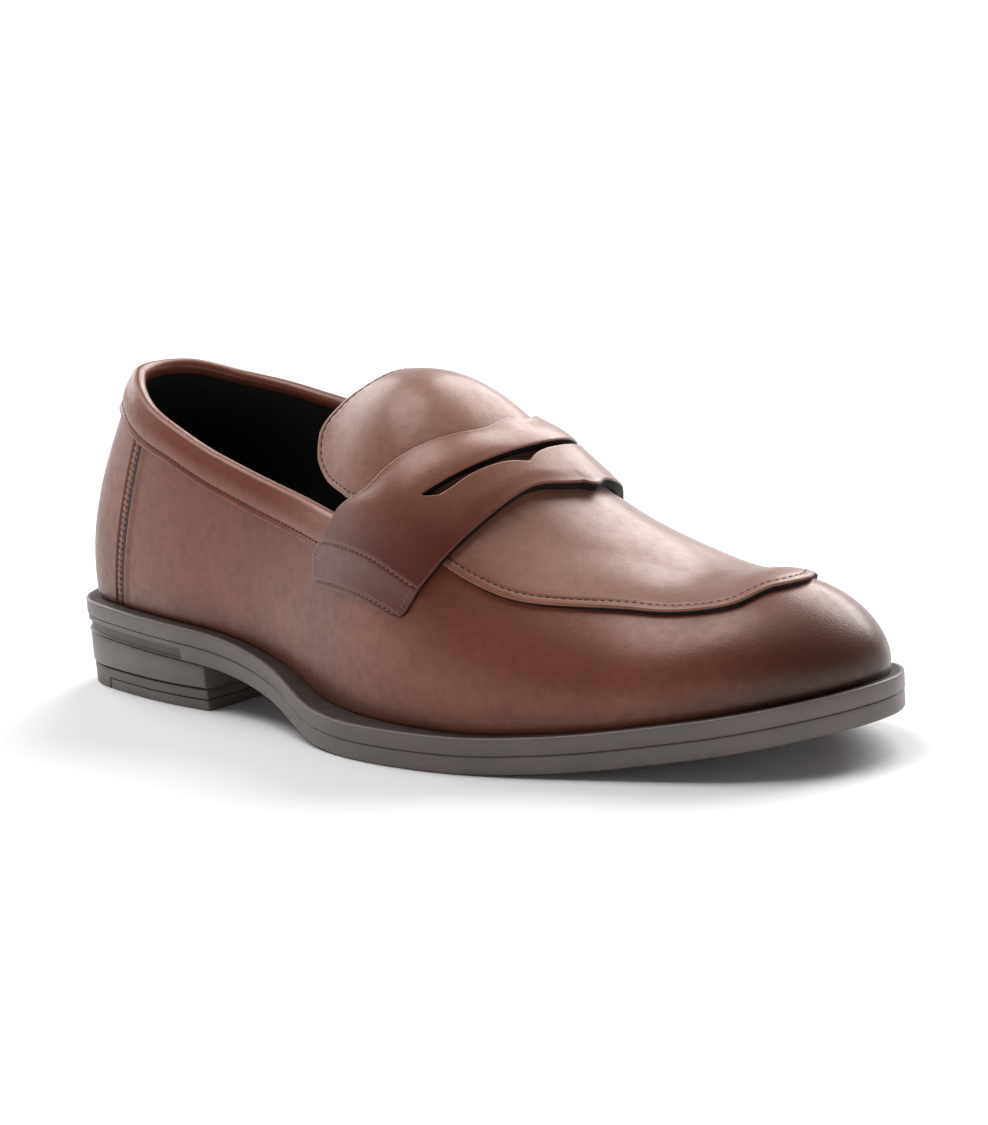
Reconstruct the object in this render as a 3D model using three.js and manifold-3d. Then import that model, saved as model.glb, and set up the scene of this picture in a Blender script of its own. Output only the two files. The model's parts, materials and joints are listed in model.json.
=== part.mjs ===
// Penny loafer, right shoe. Millimetres, +Z up, +X towards the toe, +Y towards the inner (medial) side.
// Every upper piece is a shell on one last surface; every sole piece is a slab on one outline.
import * as THREE from 'three';
import { mergeVertices } from 'three/addons/utils/BufferGeometryUtils.js';
import Module from 'manifold-3d';

const wasm = await Module();
wasm.setup();

// ---- driving dimensions ----
const LENGTH = 300; // of the sole
const SIDE_SHIFT = 6.66; // brings the box of the asymmetric sole onto the X axis
// Half-breadths of the sole at eleven stations from heel (u = 0) to toe (u = 1), even steps of u
const LATERAL = [0, 20.8, 30, 36, 40, 54, 59, 47, 34, 15.8, -6.5];
const MEDIAL = [0, 20.8, 30, 35.5, 32.5, 34.5, 44.5, 47.5, 41.5, 24.5, 6.5];
// Height of the sole's underside above the floor: heel seat, arch, flat tread, toe spring
const BOTTOM_AT = [0, 40, 75, 112, 140, 158, 195, 225, 262, 300];
const BOTTOM_Z = [17.6, 16.4, 14.6, 8.4, 0.9, 0, 0, 1.4, 6, 12.4];
// Height of the last's ridge line, which is only virtual over the open mouth
const RIDGE_AT = [0, 25, 50, 75, 100, 125, 145, 165, 190, 220, 250, 275, 300];
const RIDGE_Z = [104, 108, 134, 142, 121, 100.5, 100.5, 96.5, 73.5, 54.5, 46, 50, 44];
// Height of the collar's upper edge on each side; the two meet at the back
const LATERAL_TOP_AT = [20, 30, 38, 50, 65, 84, 111, 141, 160];
const LATERAL_TOP_Z = [104.5, 103, 98.8, 92.7, 87.2, 80.2, 72.7, 67.4, 65.5];
const MEDIAL_TOP_AT = [20, 30, 44, 57, 74, 90, 110, 135, 160];
const MEDIAL_TOP_Z = [104.5, 103, 97.7, 94.2, 90.6, 88, 81.5, 73, 66.5];
const FAN_HEEL = 52; // where the rays of the heel's round meet, from the heel end
const FAN_TOE = 237; // where the rays of the toe's round meet
const OUTSOLE = 5.3;
const GAP = 0.3;
const MIDSOLE = 5.1;
const SOLE = OUTSOLE + GAP + MIDSOLE;
const FEATHER_INSET = 8.4; // from the welt's edge to the last's lower edge
const BREAST_AT = 76; // front face of the heel
const LIFT = 6.8; // top lift of the heel
const LIFT_INSERT = 3.2;
const BAND = [14.5, 11.2]; // height of the collar band at the back and along the sides
// Layers, measured outwards from the last: [inner face, outer face]
const LINING = [0, 0.9];
const STIFFENER = [1.5, 2.3];
const OUTER = [2.9, 4];
const LAPPED = [4.9, 6];
const STRAP = [6.6, 8];

// ---- curves ----
function naturalSpline(xs, ys) {
  const n = xs.length - 1;
  const h = xs.slice(1).map((x, i) => x - xs[i]);
  const second = new Array(n + 1).fill(0);
  const upper = new Array(n + 1).fill(0);
  for (let i = 1; i < n; i++) {
    const pivot = 2 * (h[i - 1] + h[i]) - h[i - 1] * upper[i - 1];
    const rise = 6 * ((ys[i + 1] - ys[i]) / h[i] - (ys[i] - ys[i - 1]) / h[i - 1]);
    upper[i] = h[i] / pivot;
    second[i] = (rise - h[i - 1] * second[i - 1]) / pivot;
  }
  for (let i = n - 1; i > 0; i--) second[i] -= upper[i] * second[i + 1];
  return (x) => {
    let i = 0;
    while (i < n - 1 && x > xs[i + 1]) i++;
    const a = (xs[i + 1] - x) / h[i];
    const b = (x - xs[i]) / h[i];
    const bend = (a ** 3 - a) * second[i] + (b ** 3 - b) * second[i + 1];
    return a * ys[i] + b * ys[i + 1] + (bend * h[i] * h[i]) / 6;
  };
}

// Cubic through the points that never overshoots them, flat beyond the ends
function steadyCurve(xs, ys) {
  const n = xs.length - 1;
  const slope = xs.slice(1).map((x, i) => (ys[i + 1] - ys[i]) / (x - xs[i]));
  const tangent = xs.map((x, i) => {
    if (i === 0) return slope[0];
    if (i === n) return slope[n - 1];
    const product = slope[i - 1] * slope[i];
    return product <= 0 ? 0 : (2 * product) / (slope[i - 1] + slope[i]);
  });
  return (x) => {
    if (x <= xs[0]) return ys[0];
    if (x >= xs[n]) return ys[n];
    let i = 0;
    while (x > xs[i + 1]) i++;
    const width = xs[i + 1] - xs[i];
    const t = (x - xs[i]) / width;
    const keep = (1 + 2 * t) * (1 - t) ** 2;
    const start = t * (1 - t) ** 2 * width * tangent[i];
    const end = t * t * (t - 1) * width * tangent[i + 1];
    return keep * ys[i] + (1 - keep) * ys[i + 1] + start + end;
  };
}

const clamp = (x, low, high) => Math.min(high, Math.max(low, x));
const mix = (a, b, t) => a + (b - a) * t;
const smooth = (from, to, x) => {
  const t = clamp((x - from) / (to - from), 0, 1);
  return t * t * (3 - 2 * t);
};
const steps = (from, to, count) => Array.from({ length: count + 1 }, (_, i) => mix(from, to, i / count));

const stations = steps(0, 1, 10);
const lateralBreadth = naturalSpline(stations, LATERAL);
const medialBreadth = naturalSpline(stations, MEDIAL);
const bottomHeight = steadyCurve(BOTTOM_AT, BOTTOM_Z);
const ridgeHeight = naturalSpline(RIDGE_AT, RIDGE_Z);
const lateralTop = steadyCurve(LATERAL_TOP_AT, LATERAL_TOP_Z);
const medialTop = steadyCurve(MEDIAL_TOP_AT, MEDIAL_TOP_Z);
const fromHeel = (x) => x + LENGTH / 2;
const soleBottom = (x) => bottomHeight(fromHeel(x));
const soleTop = (x) => soleBottom(x) + SOLE;

// ---- outline of the sole ----
const along = (u) => (1 - Math.cos(Math.PI * u)) / 2; // 0 at the heel, 1 at the toe
const uAt = (at) => Math.acos(1 - (2 * at) / LENGTH) / Math.PI; // at = millimetres from the heel
const breadth = (u, side) => (side < 0 ? -lateralBreadth(u) : medialBreadth(u));

function edgePoint(u, side, inset) {
  const e = 1e-4;
  const u0 = clamp(u - e, 0, 1);
  const u1 = clamp(u + e, 0, 1);
  const dx = LENGTH * (along(u1) - along(u0));
  const dy = breadth(u1, side) - breadth(u0, side);
  const normal = new THREE.Vector2(-dy * side, dx * side).normalize();
  const x = LENGTH * (along(u) - 0.5) - inset * normal.x;
  return { x, y: breadth(u, side) - inset * normal.y, normal };
}

// ---- last surface ----
// u runs from heel to toe; v from -1 (lateral lower edge) over 0 (ridge) to 1 (medial lower edge)
function lastPoint(u, v) {
  const side = v < 0 ? -1 : 1;
  const foot = edgePoint(u, side, FEATHER_INSET);
  const s = along(u);
  const hub = { x: mix(FAN_HEEL, FAN_TOE, s) - LENGTH / 2, y: 0.4 * (breadth(u, 1) + breadth(u, -1)) };
  const roundness = mix(mix(1.9, 2.1, smooth(0, 0.12, s)), 2.2, smooth(0.45, 0.75, s));
  const angle = ((1 - Math.abs(v)) * Math.PI) / 2;
  const cos = Math.max(0, Math.cos(angle));
  const sin = Math.sin(angle);
  const reach = (cos ** roundness + sin ** roundness) ** (-1 / roundness);
  const inward = 1 - reach * cos;
  const rise = reach * sin;
  const swell = 6.75 * mix(1.2, 1.8, smooth(0.05, 0.3, s)) * rise * (1 - rise) ** 2;
  const x = foot.x + (hub.x - foot.x) * inward + foot.normal.x * swell;
  const y = foot.y + (hub.y - foot.y) * inward + foot.normal.y * swell;
  const base = soleTop(foot.x);
  return new THREE.Vector3(x, y, base + (ridgeHeight(fromHeel(x)) - base) * rise);
}

// The point that lies offset millimetres outside the last; it never dips into the sole
function shellPoint(u, v, offset) {
  const e = 1e-3;
  const onSeam = u < 1e-6 || u > 1 - 1e-6;
  const w = onSeam ? -Math.abs(v) : v;
  const du = lastPoint(Math.min(1, u + e), w).sub(lastPoint(Math.max(0, u - e), w));
  const dv = lastPoint(u, Math.min(1, w + e)).sub(lastPoint(u, Math.max(-1, w - e)));
  const normal = du.cross(dv).normalize();
  if (onSeam && Math.abs(v) > 1 - 1e-6) normal.setZ(0).normalize();
  const point = lastPoint(u, w).addScaledVector(normal, offset);
  point.z = Math.max(point.z, soleTop(point.x) + GAP + 0.1);
  return point;
}

// The v at which a shell of this offset reaches the height z, on one side
function vAtHeight(u, side, offset, height) {
  let low = 0.02;
  let high = 0.9;
  for (let k = 0; k < 30; k++) {
    const t = (low + high) / 2;
    const p = shellPoint(u, side * (1 - t), offset);
    if (p.z < height(p.x, side)) low = t;
    else high = t;
  }
  return side * (1 - low);
}

// ---- closed solids from two facing grids ----
function closeGrids(outer, inner, openEnds = [true, true]) {
  const rows = outer.length;
  const columns = outer[0].length;
  const positions = [outer, inner].flat(2).flatMap((p) => [p.x, p.y, p.z]);
  const out = (i, j) => i * columns + j;
  const inn = (i, j) => rows * columns + i * columns + j;
  const index = [];
  const quad = (a, b, c, d) => index.push(a, b, c, a, c, d);
  for (let i = 0; i < rows - 1; i++) {
    for (let j = 0; j < columns - 1; j++) {
      quad(out(i, j), out(i + 1, j), out(i + 1, j + 1), out(i, j + 1));
      quad(inn(i, j), inn(i, j + 1), inn(i + 1, j + 1), inn(i + 1, j));
    }
    quad(out(i, 0), inn(i, 0), inn(i + 1, 0), out(i + 1, 0));
    quad(out(i, columns - 1), out(i + 1, columns - 1), inn(i + 1, columns - 1), inn(i, columns - 1));
  }
  for (let j = 0; j < columns - 1; j++) {
    if (openEnds[0]) quad(out(0, j), out(0, j + 1), inn(0, j + 1), inn(0, j));
    const last = rows - 1;
    if (openEnds[1]) quad(out(last, j), inn(last, j), inn(last, j + 1), out(last, j + 1));
  }
  const geometry = new THREE.BufferGeometry();
  geometry.setAttribute('position', new THREE.Float32BufferAttribute(positions, 3));
  geometry.setIndex(index);
  return weld(geometry);
}

// Merges equal points and drops the triangles that this leaves without area
function weld(geometry) {
  geometry.deleteAttribute('normal');
  geometry.deleteAttribute('uv');
  const merged = mergeVertices(geometry, 1e-4);
  const kept = [];
  for (let k = 0; k < merged.index.count; k += 3) {
    const [a, b, c] = [0, 1, 2].map((m) => merged.index.getX(k + m));
    if (a !== b && b !== c && c !== a) kept.push(a, b, c);
  }
  merged.setIndex(kept);
  return merged;
}

const toManifold = (geometry) => {
  const merged = weld(geometry);
  const vertProperties = new Float32Array(merged.attributes.position.array);
  const triVerts = new Uint32Array(merged.index.array);
  return new wasm.Manifold(new wasm.Mesh({ numProp: 3, vertProperties, triVerts }));
};

function fromManifold(solid) {
  const mesh = solid.getMesh();
  const geometry = new THREE.BufferGeometry();
  geometry.setAttribute('position', new THREE.Float32BufferAttribute(mesh.vertProperties, 3));
  geometry.setIndex(Array.from(mesh.triVerts));
  return geometry;
}

const cut = (geometry, ...tools) =>
  fromManifold(tools.reduce((solid, tool) => solid.subtract(toManifold(tool)), toManifold(geometry)));

// A shell over rows of [u, v] places. layer may be a pair of offsets or a function of (u, v)
function shell(rows, layer, openEnds) {
  const offsets = typeof layer === 'function' ? layer : () => layer;
  const grid = (face) => rows.map((row) => row.map(([u, v]) => shellPoint(u, v, offsets(u, v)[face])));
  return closeGrids(grid(1), grid(0), openEnds);
}

// Rows that wrap round an end of the shoe: end = 1 round the toe, end = 0 round the heel
function wrapRows(end, fromU, count, columns, lowV, highV) {
  const first = end === 1 ? -1 : 1;
  const row = (part, side) =>
    steps(0, 1, columns).map((k) => {
      const u = mix(fromU(k), end, part);
      return [u, mix(lowV(u, side), highV(u, side), k)];
    });
  const parts = steps(0, 1, count);
  const there = parts.map((part) => row(part, first));
  const back = parts.slice(0, -1).reverse().map((part) => row(part, -first));
  return [...there, ...back];
}

// Rows that cross the ridge from side to side, as far forward as the toe when toU is 1
function crossRows(fromU, toU, count, columns, reach) {
  return steps(0, 1, count).map((k) =>
    steps(-1, 1, columns).map((w) => {
      const v = w * reach(mix(fromU(0), toU, k));
      return [mix(fromU(v), toU, k), v];
    }),
  );
}

// A slab between the heights low(x) and high(x), inside the sole outline
function slab(fromAt, toAt, count, inset, low, high, insetHigh = inset) {
  const tip = 0.012;
  const us = steps(clamp(uAt(fromAt), tip, 1 - tip), clamp(uAt(toAt), tip, 1 - tip), count);
  const grid = (depth, height) =>
    us.map((u) =>
      [-1, 1].map((side) => {
        const p = edgePoint(u, side, typeof depth === 'function' ? depth(u, side) : depth);
        return new THREE.Vector3(p.x, p.y, height(p.x));
      }),
    );
  return closeGrids(grid(insetHigh, high), grid(inset, low));
}

// ---- the parts ----
const LEATHER = { color: 0x73483a, roughness: 0.42, metalness: 0 };
const RIM_LEATHER = { color: 0x8c5544, roughness: 0.45, metalness: 0 };
const DARK_LINING = { color: 0x16181a, roughness: 0.8, metalness: 0 };
const SOLE_RUBBER = { color: 0x6f6866, roughness: 0.6, metalness: 0 };
const LIFT_RUBBER = { color: 0x5f5755, roughness: 0.65, metalness: 0 };
const FIBRE = { color: 0xa88a66, roughness: 0.9, metalness: 0 };
const CORK = { color: 0x9a7448, roughness: 0.95, metalness: 0 };
const FOAM = { color: 0xd8cfc0, roughness: 1, metalness: 0 };
const STEEL = { color: 0xa8abb0, roughness: 0.35, metalness: 1 };

const shoe = new THREE.Group();
shoe.position.set(0, SIDE_SHIFT, 0);
function add(name, geometry, look) {
  const mesh = new THREE.Mesh(geometry, new THREE.MeshStandardMaterial(look));
  mesh.name = name;
  geometry.computeVertexNormals();
  shoe.add(mesh);
}

// Places on the last where pieces begin and end
const LOW = (u, side) => side;
const heelSeam = (k) => 0.206 + 0.045 * k; // from the sole up to the collar band
const quarterEnd = () => 0.53;
const strapRear = (v) => 0.622 - 0.2 * Math.min(Math.abs(v), 0.67) - 0.011 * Math.exp(-((v / 0.09) ** 2));
const strapLean = (v) => 0.012 * smooth(-0.05, 0.1, v) * (1 - smooth(0.2, 0.5, v)); // forward, past the ridge
const strapPoint = (v) => 0.0245 * Math.exp(-((v / 0.12) ** 2)) + strapLean(v);
const strapFront = (v) => 0.6695 - 0.1455 * Math.abs(v) + strapPoint(v);
const STRAP_REACH = 0.752;
const APRON_REACH = 0.56;
const LAP = 0.07; // how far the side walls run on under the apron
const bandTop = (x, side) => (side < 0 ? lateralTop : medialTop)(fromHeel(x));
const bandLow = (x, side) => bandTop(x, side) - mix(...BAND, smooth(30, 65, fromHeel(x)));
const apronReach = (u) => mix(APRON_REACH, 0.46, smooth(0.62, 0.78, u));

function skirt() {
  const top = (u, side) => {
    const quarter = vAtHeight(u, side, OUTER[1], bandLow);
    return mix(quarter, side * (apronReach(u) - LAP), smooth(0.53, 0.6, u));
  };
  return shell(wrapRows(1, (k) => heelSeam(k) + 0.002, 30, 6, LOW, top), OUTER);
}

function heelPanel() {
  const top = (u, side) => vAtHeight(u, side, OUTER[1], bandLow);
  return shell(wrapRows(0, heelSeam, 7, 6, LOW, top), OUTER);
}

function collarBand() {
  const rows = wrapRows(
    0,
    quarterEnd,
    22,
    3,
    (u, side) => vAtHeight(u, side, OUTER[1], (x, s) => bandLow(x, s) + 2 * GAP),
    (u, side) => vAtHeight(u, side, OUTER[1], bandTop),
  );
  return shell(rows, OUTER);
}

function collarPadding() {
  const rows = wrapRows(
    0,
    () => quarterEnd() - 0.01,
    16,
    2,
    (u, side) => vAtHeight(u, side, OUTER[1], (x, s) => bandLow(x, s) + 1),
    (u, side) => vAtHeight(u, side, OUTER[1], (x, s) => bandTop(x, s) - 1),
  );
  return shell(rows, STIFFENER);
}

function quarterLining() {
  const top = (u, side) => vAtHeight(u, side, OUTER[1], (x, s) => bandTop(x, s) - 0.4);
  return shell(wrapRows(0, quarterEnd, 20, 6, LOW, top), LINING);
}

function heelCounter() {
  const low = (x, side) => bandLow(x, side) - mix(2, 20, smooth(-110, -70, x));
  const top = (u, side) => vAtHeight(u, side, OUTER[1], low);
  return shell(wrapRows(0, () => 0.33, 14, 4, LOW, top), STIFFENER);
}

// The vamp lining stops short of the tongue's root, where the tongue's own lining takes over
const vampRear = (v) => Math.max(quarterEnd() + 0.006, strapRear(v) + 0.02);
const vampLining = () => shell(crossRows(vampRear, 1, 18, 24, () => 1), LINING, [true, false]);
const toePuff = () => shell(crossRows(() => 0.87, 1, 8, 24, () => 1), STIFFENER, [true, false]);

function apron() {
  const lift = (u, v) => smooth(apronReach(u) - LAP - 0.14, apronReach(u) - LAP - 0.04, Math.abs(v));
  const layer = (u, v) => OUTER.map((offset, face) => mix(offset, LAPPED[face], lift(u, v)));
  return shell(crossRows((v) => strapRear(v) + 0.022, 1, 18, 20, apronReach), layer, [true, false]);
}

function saddleStrap() {
  const drop = (v) => smooth(0.59, 0.66, Math.abs(v));
  const layer = (u, v) => STRAP.map((offset, face) => mix(offset, LAPPED[face], drop(v)));
  const tab = (v) => 0.0135 * smooth(0.5, 0.58, Math.abs(v)) + 0.007 * smooth(0.645, 0.685, Math.abs(v));
  const place = (k, v) => [mix(strapRear(v) - tab(v), strapFront(v), k), v];
  const across = steps(-STRAP_REACH, STRAP_REACH, 28);
  const body = shell(steps(0, 1, 5).map((k) => across.map((v) => place(k, v))), layer);
  const slotReach = 0.45;
  const slotPlace = (k, w) => {
    const v = w * slotReach;
    const notch = k > 0 ? 0.006 * Math.exp(-((v / 0.05) ** 2)) : 0;
    return [0.648 - 0.172 * Math.abs(v) + k * (0.0046 * (1 - w ** 6) + notch), v];
  };
  const slot = shell([-1, 1].map((k) => steps(-0.98, 0.98, 28).map((w) => slotPlace(k, w))), [3, 12]);
  return cut(body, slot);
}

const TONGUE_REACH = 0.545;
const TONGUE_AT = [0, 0.2, 0.5, 0.7, 0.83, 0.93, 1]; // share of the half-breadth
const TONGUE_REAR = [0.488, 0.477, 0.451, 0.441, 0.447, 0.466, 0.496];
const tongueArch = steadyCurve(TONGUE_AT, TONGUE_REAR);
function tongueRows(inset) {
  const reach = TONGUE_REACH - inset * 3;
  const rear = (v) => tongueArch(Math.abs(v) / TONGUE_REACH) + inset;
  return steps(0, 1, 6).map((k) =>
    steps(-reach, reach, 18).map((v) => [mix(rear(v), strapRear(v) + 0.012 - inset, k), v]),
  );
}

// ---- bottom ----
const heelBlock = () =>
  cut(
    slab(0, BREAST_AT, 12, 1, () => LIFT + GAP, (x) => soleBottom(x) - GAP, 0.6),
    ...NAILS.map(([x, y]) => pin(x, y, 1.6, 0, 30)),
  );

const insertHole = () => slab(22, BREAST_AT + 6, 12, -2, () => -1, () => LIFT_INSERT + GAP);
const heelTopLift = () => cut(slab(0, BREAST_AT, 12, 1.6, () => 0, () => LIFT, 1), insertHole());
const heelLiftInsert = () => slab(22 + GAP, BREAST_AT, 9, 1.6, () => 0, () => LIFT_INSERT, 1.3);

const NAILS = [[-135, 0], [-122, -18], [-122, 18], [-98, -20], [-98, 20]];
function pin(x, y, radius, low, high) {
  const geometry = new THREE.CylinderGeometry(radius, radius, high - low, 12);
  return geometry.rotateX(Math.PI / 2).translate(x, y, (low + high) / 2);
}

const RIVETS = [[-108, 0], [-30, -4]];
const CAVITY = [GAP, 1.6]; // shank and filler, above the midsole
const BOARD = [1.9, 3.7];
const CUSHION = [4, 5.8];
const SOCK = 1; // thickness
const sockLow = (x) => soleTop(x) + mix(CUSHION[1] + GAP, BOARD[1] + GAP, smooth(78, 98, fromHeel(x)));
const above = (height) => (x) => soleTop(x) + height;
const INNER = FEATHER_INSET + 0.6;

// The outsole is drawn in round the heel, where a recessed line parts it from the midsole
const waistInset = (u) => 1.2 * (1 - smooth(0.3, 0.4, u));
// The welt widens where the outline swings out from the waist to the ball
const flange = (u, side) => (side < 0 ? 4 * Math.exp(-(((u - 0.49) / 0.075) ** 2)) : 0);
const weltEdge = (u, side) => -flange(u, side);
const outsoleEdge = (u, side) => waistInset(u) - flange(u, side);

function shank() {
  const half = 7;
  const xs = steps(-118, -18, 10);
  const centre = (x) => -4 * smooth(-70, -20, x);
  const grid = (height) =>
    xs.map((x) => [-half, half].map((y) => new THREE.Vector3(x, centre(x) + y, soleTop(x) + height)));
  return cut(closeGrids(grid(CAVITY[1]), grid(CAVITY[0])), ...RIVETS.map(([x, y]) => pin(x, y, 2.2, 0, 40)));
}

add('skirt', skirt(), LEATHER);
add('heel_panel', heelPanel(), LEATHER);
add('apron', apron(), LEATHER);
add('saddle_strap', saddleStrap(), LEATHER);
add('collar_band', collarBand(), RIM_LEATHER);
add('collar_padding', collarPadding(), FOAM);
add('quarter_lining', quarterLining(), DARK_LINING);
add('vamp_lining', vampLining(), DARK_LINING);
add('heel_counter', heelCounter(), FIBRE);
add('toe_puff', toePuff(), FIBRE);
add('tongue', shell(tongueRows(0), OUTER), LEATHER);
add('tongue_lining', shell(tongueRows(0.002), STIFFENER), DARK_LINING);
add('outsole', slab(0, LENGTH, 40, outsoleEdge, soleBottom, (x) => soleBottom(x) + OUTSOLE), SOLE_RUBBER);
add('midsole', slab(0, LENGTH, 40, weltEdge, above(-MIDSOLE), soleTop), SOLE_RUBBER);
add('heel_block', heelBlock(), SOLE_RUBBER);
add('heel_top_lift', heelTopLift(), LIFT_RUBBER);
add('heel_lift_insert', heelLiftInsert(), LIFT_RUBBER);
add('shank', shank(), STEEL);
add('cork_filler', slab(145, 288, 16, INNER + 4, above(CAVITY[0]), above(CAVITY[1])), CORK);
add('insole_board', slab(0, LENGTH, 34, INNER, above(BOARD[0]), above(BOARD[1])), FIBRE);
add('heel_cushion', slab(14, 74, 10, INNER + 3, above(CUSHION[0]), above(CUSHION[1])), FOAM);
add('sock_liner', slab(0, LENGTH, 34, INNER + 0.4, sockLow, (x) => sockLow(x) + SOCK), DARK_LINING);
NAILS.forEach(([x, y], i) => {
  add(`heel_nail_${i + 1}`, pin(x, y, 1.2, LIFT + 2 * GAP, soleBottom(x) - 1), STEEL);
});
RIVETS.forEach(([x, y], i) => {
  add(`shank_rivet_${i + 1}`, pin(x, y, 1.8, soleTop(x) + 0.7, soleTop(x) + 1.3), STEEL);
});

export default shoe;
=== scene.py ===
"""Penny loafer, right shoe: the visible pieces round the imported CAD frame.

Surface code works in millimetres on one last surface; solids are written in metres.
u runs from heel (0) to toe (1), v from the lateral lower edge (-1) over the ridge (0) to the medial one (1).
"""
import json
import math
import bmesh
import bpy
import numpy as np
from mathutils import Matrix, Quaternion, Vector


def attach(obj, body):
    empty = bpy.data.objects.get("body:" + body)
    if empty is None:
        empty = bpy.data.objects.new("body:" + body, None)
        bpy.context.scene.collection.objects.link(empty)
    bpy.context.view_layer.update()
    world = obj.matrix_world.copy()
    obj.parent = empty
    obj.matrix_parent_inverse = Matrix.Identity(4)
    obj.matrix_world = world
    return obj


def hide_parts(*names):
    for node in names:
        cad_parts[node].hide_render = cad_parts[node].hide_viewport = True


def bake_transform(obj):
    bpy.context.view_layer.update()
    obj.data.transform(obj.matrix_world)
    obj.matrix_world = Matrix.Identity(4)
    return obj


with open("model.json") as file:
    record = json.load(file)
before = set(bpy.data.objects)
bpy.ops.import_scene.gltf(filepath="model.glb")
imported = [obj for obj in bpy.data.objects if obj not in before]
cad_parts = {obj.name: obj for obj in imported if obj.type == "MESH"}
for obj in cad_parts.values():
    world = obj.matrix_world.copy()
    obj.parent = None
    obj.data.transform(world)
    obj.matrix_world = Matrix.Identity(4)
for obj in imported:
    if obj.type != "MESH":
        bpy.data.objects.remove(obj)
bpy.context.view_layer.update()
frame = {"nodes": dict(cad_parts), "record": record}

# ---- driving dimensions, mm ----
LENGTH = 300
SIDE_SHIFT = 6.66
MM = 0.001
STATIONS = np.linspace(0, 1, 11)
LATERAL = np.array([0, 20.8, 30, 36, 40, 54, 59, 47, 34, 15.8, -6.5])
MEDIAL = np.array([0, 20.8, 30, 35.5, 32.5, 34.5, 44.5, 47.5, 41.5, 24.5, 6.5])
BOTTOM_AT = np.array([0, 40, 75, 112, 140, 158, 195, 225, 262, 300.0])
BOTTOM_Z = np.array([17.6, 16.4, 14.6, 8.4, 0.9, 0, 0, 1.4, 6, 12.4])
RIDGE_AT = np.array([0, 25, 50, 75, 100, 125, 145, 165, 190, 220, 250, 275, 300.0])
RIDGE_Z = np.array([104, 108, 134, 142, 121, 100.5, 100.5, 96.5, 73.5, 54.5, 46, 50, 44])
LATERAL_TOP_AT = np.array([20, 30, 38, 50, 65, 84, 111, 141, 160.0])
LATERAL_TOP_Z = np.array([104.5, 103, 98.8, 92.7, 87.2, 80.2, 72.7, 67.4, 65.5])
MEDIAL_TOP_AT = np.array([20, 30, 44, 57, 74, 90, 110, 135, 160.0])
MEDIAL_TOP_Z = np.array([104.5, 103, 97.7, 94.2, 90.6, 88, 81.5, 73, 66.5])
FAN_HEEL, FAN_TOE = 52, 237  # where the rays of the heel's and the toe's round meet
SOLE = 10.7
OUTSOLE = 5.45
FEATHER_INSET = 8.4
BREAST_AT = 76
LIFT = 6.8
LIFT_INSERT = 3.3
BAND = (14.5, 11.2)  # height of the collar band at the back and along the sides

# Layers outward from the last: [inner face, outer face]
LINING = (0, 0.9)
WALL = (2.9, 4.0)
TONGUE = (2.5, 4.3)
BAND_FACE = 5.0
APRON_EDGE = (4.1, 5.9)
STRAP_REAR = (4.7, 5.9)
STRAP_FRONT = (4.9, 8.0)
STRAP_TAB = (4.1, 5.5)


# ---- curves ----
def natural_spline(xs, ys):
    n = len(xs)
    h = np.diff(xs)
    system = np.eye(n)
    right = np.zeros(n)
    for i in range(1, n - 1):
        system[i, i - 1 : i + 2] = h[i - 1], 2 * (h[i - 1] + h[i]), h[i]
        right[i] = 6 * ((ys[i + 1] - ys[i]) / h[i] - (ys[i] - ys[i - 1]) / h[i - 1])
    second = np.linalg.solve(system, right)

    def value(x):
        i = np.clip(np.searchsorted(xs, x) - 1, 0, n - 2)
        a = (xs[i + 1] - x) / h[i]
        b = (x - xs[i]) / h[i]
        bend = (a**3 - a) * second[i] + (b**3 - b) * second[i + 1]
        return a * ys[i] + b * ys[i + 1] + bend * h[i] ** 2 / 6

    return value


def steady_curve(xs, ys):
    """Cubic through the points that never overshoots them, flat beyond the ends."""
    slope = np.diff(ys) / np.diff(xs)
    product = slope[:-1] * slope[1:]
    total = np.where(product > 0, slope[:-1] + slope[1:], 1)
    tangent = np.concatenate([slope[:1], np.where(product > 0, 2 * product / total, 0), slope[-1:]])

    def value(x):
        x = np.clip(x, xs[0], xs[-1])
        i = np.clip(np.searchsorted(xs, x) - 1, 0, len(xs) - 2)
        width = xs[i + 1] - xs[i]
        t = (x - xs[i]) / width
        keep = (1 + 2 * t) * (1 - t) ** 2
        start = t * (1 - t) ** 2 * width * tangent[i]
        end = t * t * (t - 1) * width * tangent[i + 1]
        return keep * ys[i] + (1 - keep) * ys[i + 1] + start + end

    return value


def mix(a, b, t):
    return a + (b - a) * t


def smooth(low, high, x):
    t = np.clip((x - low) / (high - low), 0, 1)
    return t * t * (3 - 2 * t)


def hump(x, centre, width):
    return np.exp(-(((x - centre) / width) ** 2))


lateral_breadth = natural_spline(STATIONS, LATERAL)
medial_breadth = natural_spline(STATIONS, MEDIAL)
bottom_height = steady_curve(BOTTOM_AT, BOTTOM_Z)
ridge_height = natural_spline(RIDGE_AT, RIDGE_Z)
lateral_top = steady_curve(LATERAL_TOP_AT, LATERAL_TOP_Z)
medial_top = steady_curve(MEDIAL_TOP_AT, MEDIAL_TOP_Z)


def sole_bottom(x):
    return bottom_height(x + LENGTH / 2)


def sole_top(x):
    return sole_bottom(x) + SOLE


def band_level(x, side, share):
    """Height on the collar band at a share of its height below its upper edge."""
    at = x + LENGTH / 2
    top = np.where(side < 0, lateral_top(at), medial_top(at))
    return top - share * mix(*BAND, smooth(30, 65, at))


# ---- outline of the sole ----
def along(u):
    return (1 - np.cos(np.pi * u)) / 2


def u_at(at):
    return math.acos(1 - 2 * at / LENGTH) / math.pi


def breadth(u, side):
    return np.where(side < 0, -lateral_breadth(u), medial_breadth(u))


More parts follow.
